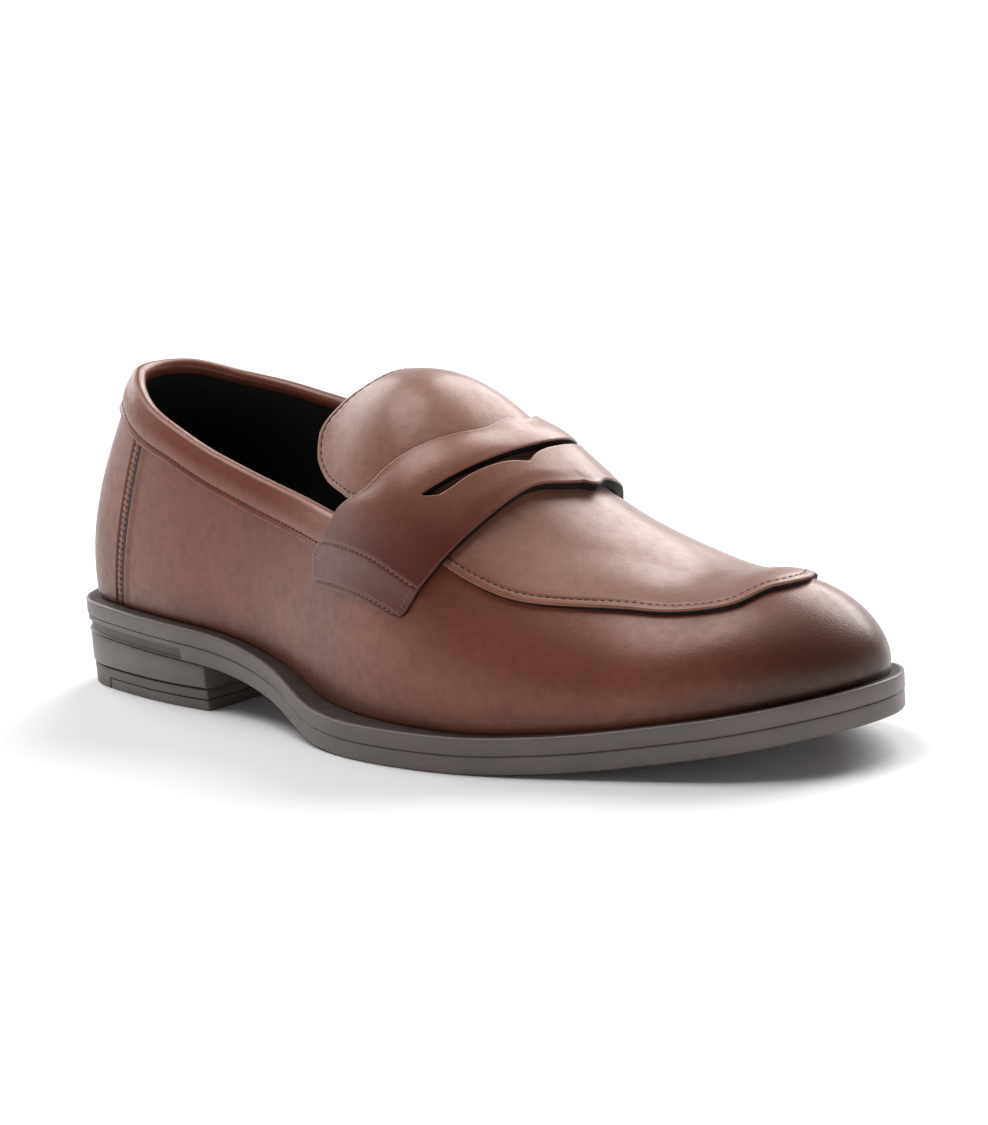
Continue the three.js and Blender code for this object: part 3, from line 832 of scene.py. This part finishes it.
def make_strap():
    v, from_end = strap_columns()
    t = np.linspace(0, 1, 80)
    rear, front = strap_rear(v), strap_front(v)
    line_u = mix(rear[:, None], front[:, None], t)
    line = shell_point(line_u, np.broadcast_to(v[:, None], line_u.shape), 6)
    steps = np.linalg.norm(np.diff(line, axis=1), axis=-1)
    arc = np.concatenate([np.zeros((len(v), 1)), np.cumsum(steps, axis=1)], axis=1)
    width = arc[:, -1]
    pull = rounded(from_end, TAB_CORNER)
    slot_u = SLOT_REAR - SLOT_SLOPE * np.abs(v)
    slot_at = np.array([np.interp(slot_u[r], line_u[r], arc[r]) for r in range(len(v))])
    slot_end = slot_at + slot_width(v)
    rear_block = pull[:, None] + block_steps(slot_at - pull, 8)
    front_block = slot_end[:, None] + block_steps(width - pull - slot_end, 14)
    places = np.concatenate([rear_block, front_block], axis=1)
    u = np.stack([np.interp(places[r], arc[r], line_u[r]) for r in range(len(v))])
    v_grid = np.broadcast_to(v[:, None], u.shape)
    outer_layer, inner_layer = strap_layer(v_grid, places / width[:, None])
    opened = smooth(0.0, 0.4, slot_width(v))[:, None]
    to_rear = places - pull[:, None]
    to_front = (width - pull)[:, None] - places
    to_slot = np.where(places <= slot_at[:, None], slot_at[:, None] - places, places - slot_end[:, None])
    ends = from_end[:, None]
    drop = rounded(to_rear, 0.6) + rounded(to_front, 0.6) + rounded(to_slot, 0.5) * opened
    drop = drop + rounded(ends, 0.5)
    groove = sum(0.22 * hump(ends, row, 0.3) for row in TAB_ROWS)
    cushion = 0.5 * smooth(0, 7, to_rear) * smooth(0, 6, to_front) * (1 - smooth(0.45, 0.62, np.abs(v_grid)))
    outer = shell_point(u, v_grid, outer_layer + cushion - drop - groove)
    inner = shell_point(u, v_grid, inner_layer)
    split = rear_block.shape[1]
    piece = strap_mesh(outer, inner, split, slot_width(v) > 0)
    place(piece, "upper_leather", "saddle_strap")
    return v, from_end, arc, line_u, pull, width


def strap_mesh(outer, inner, split, opened):
    """The strap's two blocks, joined beyond the slot's ends, with painted walls at its cut edges."""
    rows, columns = outer.shape[:2]
    o = np.arange(rows * columns).reshape(rows, columns)
    i = o + rows * columns
    points = [outer.reshape(-1, 3), inner.reshape(-1, 3)]
    faces = [quads(part[:, cut]) for part in (o, i) for cut in (np.s_[:split], np.s_[split:])]
    looks_of = [np.zeros(sum(len(group) for group in faces))]
    count = 2 * rows * columns
    walls = [(0, 1, 1), (columns - 1, -1, 1), (split - 1, -1, 1), (split, 1, 1)]
    for column, inside, look in walls:
        out = unit(outer[:, column] - outer[:, column + inside])
        fade = np.ones(rows)
        fade[[0, -1]] = 0
        previous = o[:, column]
        for step in range(1, WALL_STEPS + 1):
            share = step / WALL_STEPS
            swell = 0.15 * math.sin(math.pi * share) * fade * (opened if column in (split - 1, split) else 1)
            if step == WALL_STEPS:
                line = i[:, column]
            else:
                points.append(mix(outer[:, column], inner[:, column], share) + out * swell[:, None])
                line = np.arange(count, count + rows)
                count += rows
            strip = quads(np.stack([previous, line]))
            if column in (split - 1, split):
                strip = strip[opened[:-1] | opened[1:]]
            faces.append(strip)
            looks_of.append(np.full(len(strip), look))
            previous = line
    for row in (0, rows - 1):
        previous = o[row]
        for step in range(1, WALL_STEPS + 1):
            if step == WALL_STEPS:
                line = i[row]
            else:
                points.append(mix(outer[row], inner[row], step / WALL_STEPS))
                line = np.arange(count, count + columns)
                count += columns
            strip = quads(np.stack([previous, line]))
            keep = np.arange(columns - 1) != split - 1
            faces.append(strip[keep])
            looks_of.append(np.zeros(keep.sum()))
            previous = line
    return make_object("saddle_strap_leather", np.concatenate(points), np.concatenate(faces),
                       [STRAP_LEATHER, EDGE_PAINT], np.concatenate(looks_of), strap_shade)


def strap_shade(points):
    """The strap is darker on its tabs."""
    return smooth(80, 58, points[..., 2])


# ---- stitches ----
def stitches(name, u, v, offset, look, pitch=2.5, length=1.9, radius=0.26, slant=0.0, body="shoe"):
    """Short threads along a line of (u, v) places, a little sunk into the leather."""
    points = shell_point(u, v, offset)
    arc = np.concatenate([[0], np.cumsum(np.linalg.norm(np.diff(points, axis=0), axis=1))])
    count = int(arc[-1] // pitch)
    at = (np.arange(count) + 0.5) * arc[-1] / count
    centre = np.stack([np.interp(at, arc, points[:, axis]) for axis in range(3)], axis=-1)
    ahead = np.stack([np.interp(at + 0.4, arc, points[:, axis]) for axis in range(3)], axis=-1)
    behind = np.stack([np.interp(at - 0.4, arc, points[:, axis]) for axis in range(3)], axis=-1)
    normals = last_normal(u, v)
    normal = unit(np.stack([np.interp(at, arc, normals[:, axis]) for axis in range(3)], axis=-1))
    tangent = ahead - behind
    tangent = unit(tangent - normal * (tangent * normal).sum(axis=-1, keepdims=True))
    across = np.cross(normal, tangent)
    tangent, across = (tangent * math.cos(slant) + across * math.sin(slant),
                       across * math.cos(slant) - tangent * math.sin(slant))
    rings, sides = 7, 6
    s = np.linspace(-1, 1, rings)
    thick = radius * np.sqrt(np.clip(1 - s**6, 0, 1)) + 1e-3
    bow = radius * (0.5 - 1.3 * s**4)
    angle = np.arange(sides) * 2 * np.pi / sides
    ring = (across[:, None, None] * np.cos(angle)[None, None, :, None]
            + normal[:, None, None] * np.sin(angle)[None, None, :, None]) * thick[None, :, None, None]
    spine = (centre[:, None] + tangent[:, None] * (s * length / 2)[None, :, None]
             + normal[:, None] * bow[None, :, None])
    verts = (spine[:, :, None] + ring).reshape(-1, 3)
    ids = np.arange(count * rings * sides).reshape(count, rings, sides)
    wrapped = np.concatenate([ids, ids[:, :, :1]], axis=2)
    corners = (wrapped[:, :-1, :-1], wrapped[:, 1:, :-1], wrapped[:, 1:, 1:], wrapped[:, :-1, 1:])
    body_faces = np.stack(corners, axis=-1).reshape(-1, 4).tolist()
    ends = ids[:, 0, ::-1].tolist() + ids[:, -1].tolist()
    piece = make_object(name, verts, body_faces + ends, [look], shade=lambda p: 0 * p[..., 0])
    if body:
        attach(piece, body)
    return piece


def make_stitches(apron, tongue, strap):
    hole = int(np.argmin(np.abs(EDGE_STEPS - APRON_STITCH)))
    stitches("apron_stitches", apron[0][:, hole], apron[1][:, hole], APRON_EDGE[1] - 0.3, THREAD_DARK,
             2.2, 1.7, 0.22)
    hole = int(np.argmin(np.abs(EDGE_STEPS - TONGUE_STITCH)))
    row = stitches("tongue_stitches", tongue[0][:, hole], tongue[1][:, hole], TONGUE[1] - 0.25, THREAD_DARK,
                   2.6, 1.9, 0.26, body=None)
    for n, side in enumerate((-1, 1)):
        us = np.linspace(0.5, 0.002, 260)
        vs = v_on_band(us, side * np.ones(us.shape), BAND_STITCH)
        stitches(f"collar_stitches_{n + 1}", us, vs, BAND_FACE - 0.1, THREAD_BROWN, 2.0, 1.6, 0.24, 0.25)
        strap_stitches(n, side, *strap)
        ks = np.linspace(0.01, 1, 80)
        for m, inset in enumerate((2.3, 4.0)):
            us = heel_seam(ks) * (1 - inset / HEEL_LENGTH)
            vs = mix(np.full(ks.shape, float(side)), quarter_top(us, side), ks)
            stitches(f"heel_seam_stitches_{n + 1}_{m + 1}", us, vs, WALL[1] - 0.2, THREAD_BROWN,
                     2.0, 1.5, 0.19, 0.35)
    return row


def strap_stitches(n, side, v, columns, arc, line_u, pull, width):
    """Two rows across a tab and two short ones that close them to a box."""
    half = slice(0, len(v) // 2) if side < 0 else slice(len(v) // 2 + 1, len(v))
    rows = np.arange(len(v))[half]
    inset = 2.0
    boxed = rows[(columns[half] > TAB_ROWS[0]) & (columns[half] < TAB_ROWS[1])]
    for m, front in enumerate((False, True)):
        at = width[boxed] - pull[boxed] - inset if front else pull[boxed] + inset
        us = np.array([np.interp(a, arc[r], line_u[r]) for a, r in zip(at, boxed)])
        layer = strap_layer(v[boxed], at / width[boxed])[0]
        stitches(f"tab_stitches_{n + 1}_{m + 3}", us, v[boxed], layer - 0.15, THREAD_TAN, 1.9, 1.5, 0.2, 0.4)
    for m, row in enumerate(TAB_ROWS):
        near = rows[np.argmin(np.abs(columns[half] - row))]
        at = np.linspace(pull[near] + inset, width[near] - pull[near] - inset, 60)
        us = np.interp(at, arc[near], line_u[near])
        vs = np.full(us.shape, v[near])
        layer = strap_layer(vs, at / width[near])[0]
        stitches(f"tab_stitches_{n + 1}_{m + 1}", us, vs, layer - 0.15, THREAD_TAN, 1.9, 1.5, 0.2, 0.4)


# ---- bottom ----
def flange(u):
    """How far the lateral welt widens where the outline swings out from the waist to the ball."""
    return 4 * hump(u, 0.49, 0.075)


def sole_rings(us, profile, flanged=False):
    """Rings through a sole piece: its profile (inset, height) down the lateral side and up the medial one."""
    sides = []
    for side in (-1, 1):
        columns = []
        for inset, height in profile:
            depth = inset(us) if callable(inset) else inset
            if flanged and side < 0:
                depth = depth - flange(us)
            x, y, _, _ = edge_point(us, np.full(us.shape, float(side)), depth)
            columns.append(np.stack([x, y, height(x, us)], axis=-1))
        sides.append(np.stack(columns, axis=1))
    return np.concatenate([sides[0], sides[1][:, ::-1]], axis=1)


def above_bottom(height):
    return lambda x, u: sole_bottom(x) + height


def ring_looks(profile_looks):
    return profile_looks + [0] + profile_looks[::-1] + [0]


def top_corner(inset, height, radius):
    """Places round a convex upper corner, from its top to its side."""
    places = []
    for angle in np.linspace(0, math.pi / 2, 4):
        turn = math.pi / 2 - angle
        places.append((inset + radius * (1 - math.cos(turn)), height - radius * (1 - math.sin(turn))))
    return places


def make_midsole():
    us = np.linspace(0, 1, 200)
    top = SOLE
    low = OUTSOLE + 0.05
    places = [(12, top), (8.2, top), (4.0, top), (1.2, top - 0.05)] + top_corner(0, top - 0.1, 0.6)
    places += [(0, top - 2.5), (0.0, low + 0.5), (0.1, low + 0.2), (0.35, low), (6, low), (12, low)]
    profile = [(inset, above_bottom(height)) for inset, height in places]
    looks = [1 if n < 3 else 0 for n in range(len(places) - 1)]
    rings = sole_rings(us, profile, True)
    piece = loft("welt_and_midsole", rings, [SOLE_RUBBER, WELT_TOP], ring_looks(looks))
    place(piece, "sole_rubber", "midsole")


STRIPE_END = 66  # where the heel's recessed stripe runs out, from the heel end


def make_outsole():
    stop = u_at(STRIPE_END)
    near = np.array([stop - 0.0012, stop, stop + 0.0012])
    us = np.sort(np.concatenate([np.linspace(0, 1, 200), near]))

    def recess(u):
        return 0.15 + 1.0 * smooth(stop + 0.001, stop - 0.001, u)

    def band(u):
        return 0.15 + 0.1 * smooth(0.4, 0.2, u)

    places = [(12, OUTSOLE), (1.5, OUTSOLE), (0.5, OUTSOLE), (0.25, OUTSOLE - 0.15), (band, OUTSOLE - 0.4),
              (band, OUTSOLE - 1.6), (recess, OUTSOLE - 1.9), (recess, 2.2), (recess, 0.8)]
    places += [(0.35, 0.35), (0.7, 0.08), (1.2, 0), (4.4, 0), (4.8, 0.5), (5.4, 0.5), (5.8, 0), (12, 0)]
    profile = [(inset, above_bottom(height)) for inset, height in places]
    piece = loft("outsole_rubber", sole_rings(us, profile, True), [SOLE_RUBBER, STRIPE_RUBBER])
    looks_now = np.zeros(len(piece.data.polygons), dtype=np.int32)
    limit = (STRIPE_END - LENGTH / 2) * MM
    for polygon in piece.data.polygons:
        x, _, z = polygon.center
        height = z / MM - float(sole_bottom(x / MM))
        looks_now[polygon.index] = 1 if x < limit and 0.3 < height < OUTSOLE - 1.7 else 0
    piece.data.polygons.foreach_set("material_index", looks_now)
    place(piece, "sole_rubber", "outsole")


def heel_stations(count):
    end = u_at(BREAST_AT)
    return np.concatenate([np.linspace(0, end - 0.004, count), [end - 0.002, end - 0.001, end - 0.0003, end]])


def breast_bevel(count):
    """Extra inset of the last stations, which rounds the front edges."""
    return np.concatenate([np.zeros(count), [0.02, 0.1, 0.25, 0.5]])


def heel_piece(name, places, look, count=60):
    us = heel_stations(count)
    bevel = breast_bevel(count)
    profile = [((lambda u, i=inset: i + bevel), height) for inset, height in places]
    return loft(name, sole_rings(us, profile), [look], caps=(False, True))


def level(height):
    return lambda x, u: height + 0 * x


def make_heel():
    gap = 0.45
    top = above_bottom(-0.05)
    block = [(12, top), (2, top), (0.9, above_bottom(-0.15)), (0.6, above_bottom(-0.5))]
    block += [(0.75, level(LIFT + gap + 0.4)), (0.9, level(LIFT + gap + 0.1)), (1.1, level(LIFT + gap)),
              (2.2, level(LIFT + gap)), (2.3, level(LIFT + 0.02)), (12, level(LIFT + 0.02))]
    place(heel_piece("heel_block_rubber", block, SOLE_RUBBER), "sole_rubber", "heel_block")
    step = 22

    def low(high):
        return lambda x, u: np.where(x + LENGTH / 2 > step, LIFT_INSERT + 0.35, high)

    lift = [(12, level(LIFT)), (1.8, level(LIFT)), (1.3, level(LIFT - 0.1)), (1.05, level(LIFT - 0.35)),
            (1.3, low(0.35)), (1.45, low(0.1)), (1.8, low(0.0)), (12, low(0.0))]
    place(heel_piece("top_lift_rubber", lift, LIFT_RUBBER, 140), "lift_rubber", "heel_top_lift")
    make_insert(step + 0.5)


def make_insert(start):
    """The wear insert let into the top lift, parted from it by a fine line."""
    us = np.concatenate([np.linspace(u_at(start), u_at(BREAST_AT) - 0.004, 50),
                         u_at(BREAST_AT) - np.array([0.002, 0.001, 0.0003, 0])])
    bevel = breast_bevel(50)
    places = [(12, LIFT_INSERT + 0.03), (2.6, LIFT_INSERT + 0.03), (2.5, LIFT_INSERT), (1.7, LIFT_INSERT),
              (1.4, LIFT_INSERT - 0.1), (1.25, LIFT_INSERT - 0.3),
              (1.35, 0.35), (1.5, 0.1), (1.9, 0), (12, 0)]
    profile = [((lambda u, i=inset: i + bevel), level(height)) for inset, height in places]
    piece = loft("lift_insert_rubber", sole_rings(us, profile), [LIFT_RUBBER], caps=(True, True))
    place(piece, "lift_rubber", "heel_lift_insert")


def make_inside():
    """The sock lining with its raised rim, and the pads that the leather hides."""
    us = np.linspace(0, 1, 130)
    inset = FEATHER_INSET + 0.9

    def seat(x):
        return sole_top(x) + mix(6.1, 4.0, smooth(78, 98, x + LENGTH / 2))

    def over(height):
        return lambda x, u: seat(x) + height

    places = [(24, over(1.0)), (inset + 6, over(1.05)), (inset + 2.5, over(1.25)), (inset + 0.6, over(1.7)),
              (inset, over(1.75)), (inset, over(0.8)), (inset + 2, over(0.1)), (24, over(0))]
    place(loft("sock_lining_leather", sole_rings(us, places), [LINING_BLACK]), "lining", "sock_liner")
    pad_us = np.linspace(u_at(14), u_at(74), 50)
    crown = np.sin(np.linspace(0, math.pi, 50))

    def pad(height):
        return lambda x, u: sole_top(x) + 4 + height * crown

    places = [(26, pad(1.8)), (18, pad(1.75)), (14, pad(1.4)), (12.3, pad(0.9)),
              (12.0, pad(0.5)), (12.4, pad(0.1)), (14, pad(0)), (26, pad(0))]
    pad_piece = loft("heel_pad_foam", sole_rings(pad_us, places), [HIDDEN["foam"]])
    place(pad_piece, "foam", "heel_cushion")
    parts = np.linspace(0, 1, 70)
    halves = []
    for side in (-1, 1):
        u = mix(0.51, 0, parts)[:, None]
        sides = np.full(u.shape, float(side))
        turn = np.linspace(0, 2 * math.pi, 14, endpoint=False)[None, :]
        face = 2.35 + 0.75 * np.sin(turn)
        v = v_on_band(u, sides, 0.57 + 0.28 * np.cos(turn))
        halves.append(shell_point(u, v, face))
    roll = loft("collar_roll_foam", joined(halves), [HIDDEN["foam"]], caps=(True, True))
    place(roll, "foam", "collar_padding")


# ---- the model ----
def finish_hidden_nodes():
    slots = {part["node"]: part["material_slot"] for part in frame["record"]["subparts"]}
    for name, node in frame["nodes"].items():
        look = HIDDEN[slots[name]]
        if node.material_slots:
            for slot in node.material_slots:
                slot.link = "OBJECT"
                slot.material = look
        else:
            node.data.materials.append(look)


make_skirt()
make_heel_panel()
make_collar()
make_linings()
apron_places = make_apron()
*tongue_places, tongue_pieces = make_tongue()
strap_places = make_strap()
make_midsole()
make_outsole()
make_heel()
make_inside()
tongue_row = make_stitches(apron_places, tongue_places, strap_places)
finish_hidden_nodes()

for piece in (*tongue_pieces, tongue_row):
    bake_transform(piece)


# ---- stage, light and camera ----
def soft_light(name, towards, strength, spread):
    """A wide sun that shines from a direction: a softbox that lights the floor evenly out to the horizon."""
    data = bpy.data.lights.new(name, "SUN")
    data.energy = strength
    data.angle = math.radians(spread)
    lamp = bpy.data.objects.new(name, data)
    bpy.context.scene.collection.objects.link(lamp)
    lamp.rotation_mode = "QUATERNION"
    lamp.rotation_quaternion = Vector(towards).to_track_quat("Z", "Y")


SKY = (0.1, 0.35, 1.0, 0.1)  # heights where the white horizon starts to fade and ends, then the light there


def make_stage():
    bpy.ops.mesh.primitive_plane_add(size=120)
    floor = bpy.context.object
    floor.name = "floor"
    look = speckled("pale_floor", (0.9, 0.9, 0.9, 1), (0.88, 0.88, 0.88, 1), 3, 0.8, 0.02)
    floor.data.materials.append(look)
    world = bpy.data.worlds.new("studio")
    bpy.context.scene.world = world
    world.use_nodes = True
    tree = world.node_tree
    background = tree.nodes["Background"]
    background.inputs["Color"].default_value = (1, 1, 1, 1)
    place = tree.nodes.new("ShaderNodeTexCoord")
    split = tree.nodes.new("ShaderNodeSeparateXYZ")
    fall = tree.nodes.new("ShaderNodeMapRange")
    for socket, value in zip(("From Min", "From Max", "To Min", "To Max"), SKY):
        fall.inputs[socket].default_value = value
    tree.links.new(place.outputs["Generated"], split.inputs["Vector"])
    tree.links.new(split.outputs["Z"], fall.inputs["Value"])
    tree.links.new(fall.outputs["Result"], background.inputs["Strength"])


CAMERA_AT = Vector((0.6315, -0.6872, 0.2256))
CAMERA_AIM = Vector((0.014, 0.0089, 0.046))
CAMERA_ROLL = 4.1
LENS = 102.4


def make_camera():
    data = bpy.data.cameras.new("camera")
    data.sensor_width = 36
    data.lens = LENS
    camera = bpy.data.objects.new("camera", data)
    bpy.context.scene.collection.objects.link(camera)
    camera.location = CAMERA_AT
    camera.rotation_mode = "QUATERNION"
    look = (CAMERA_AIM - CAMERA_AT).to_track_quat("-Z", "Y")
    camera.rotation_quaternion = look @ Quaternion((0, 0, 1), math.radians(-CAMERA_ROLL))
    bpy.context.scene.camera = camera


make_stage()
soft_light("overhead", (0, 0, 1), 0.45, 40)
soft_light("back", (-0.1, 1.0, 0.8), 3.2, 46)
soft_light("left", (-1.2, 0.3, 0.6), 1.2, 36)
soft_light("above", (-0.5, -0.15, 1.2), 1.5, 36)
make_camera()
bpy.context.scene.view_settings.view_transform = "Standard"
